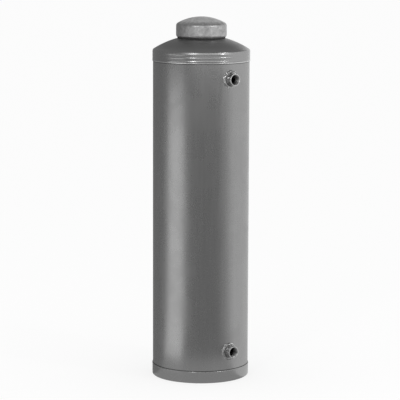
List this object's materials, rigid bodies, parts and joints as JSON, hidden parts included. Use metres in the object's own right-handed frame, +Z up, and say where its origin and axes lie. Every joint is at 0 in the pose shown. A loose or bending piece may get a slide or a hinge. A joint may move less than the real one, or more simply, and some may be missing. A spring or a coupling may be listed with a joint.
{
  "type": "tank water heater",
  "caption": "Slim upright stainless tank water heater with a domed lid, a lift-off terminal cap, side pipe sockets and an electric heater inside.",
  "frame": {"origin": "on the tank's upright axis, at the floor that the base pan stands on", "axes": "+Z up along the tank; -Y is the side with the pipe sockets; +Y is the back, with the cable gland"},
  "size_m": [0.2432, 0.2818, 0.9013],
  "materials": {
    "casing_steel": "satin",
    "weld_steel": "matte",
    "vessel_steel": "satin",
    "foam": "matte",
    "black_rubber": "matte",
    "zinc_steel": "satin",
    "element_sheath": "satin",
    "white_ceramic": "satin",
    "copper": "satin",
    "brass": "satin",
    "black_plastic": "satin",
    "grey_plastic": "satin",
    "red_plastic": "gloss",
    "brown_insulation": "satin",
    "blue_insulation": "satin",
    "red_insulation": "satin"
  },
  "bodies": {
    "tank": {"base_pan": "casing_steel", "cap_seal": "black_rubber", "cold_inlet_socket": "casing_steel", "cold_inlet_spreader": "vessel_steel", "cold_inlet_weld": "weld_steel", "earth_nuts": "zinc_steel", "earth_stud": "zinc_steel", "element_bushes": "white_ceramic", "element_link": "copper", "element_nuts": "zinc_steel", "element_pins": "zinc_steel", "flange_bolts": "zinc_steel", "flange_gasket": "black_rubber", "flange_washers": "zinc_steel", "gland_body": "black_plastic", "gland_bush": "black_rubber", "gland_locknut": "black_plastic", "gland_nut": "black_plastic", "gland_washer": "black_rubber", "heater_flange": "vessel_steel", "heater_plate": "vessel_steel", "heating_elements": "element_sheath", "hot_outlet_pickup": "vessel_steel", "hot_outlet_socket": "casing_steel", "hot_outlet_weld": "weld_steel", "insulation_base": "foam", "insulation_sleeve": "foam", "insulation_top": "foam", "jacket_seam": "weld_steel", "lid": "casing_steel", "live_lead": "brown_insulation", "neck_collar": "vessel_steel", "neutral_lead": "blue_insulation", "outer_jacket": "casing_steel", "switched_lead": "red_insulation", "terminal_block": "white_ceramic", "terminal_bracket": "vessel_steel", "terminal_screws": "brass", "terminal_sleeves": "brass", "thermostat_blades": "brass", "thermostat_body": "black_plastic", "thermostat_pocket": "vessel_steel", "thermostat_stem": "copper", "vessel_bottom_head": "vessel_steel", "vessel_shell": "vessel_steel", "vessel_skirt": "vessel_steel", "vessel_top_head": "vessel_steel"},
    "cap": {"cap": "casing_steel", "cap_screws": "zinc_steel", "cap_screw_nuts": "zinc_steel"},
    "dial": {"thermostat_dial": "grey_plastic"},
    "button": {"reset_button": "red_plastic"}
  },
  "joints": [
    {"name": "cap_lift", "type": "slide", "parent": "tank", "child": "cap", "axis": [0, 0, 1], "range_m": [0, 0.12]},
    {"name": "dial_turn", "type": "hinge", "parent": "tank", "child": "dial", "pos_m": [0, -0.018, 0.864], "axis": [0, 0, 1], "range_deg": [-135, 135]},
    {"name": "reset_press", "type": "slide", "parent": "tank", "child": "button", "axis": [0, 0, -1], "range_m": [0, 0.002], "stiffness_N_per_m": 400}
  ]
}
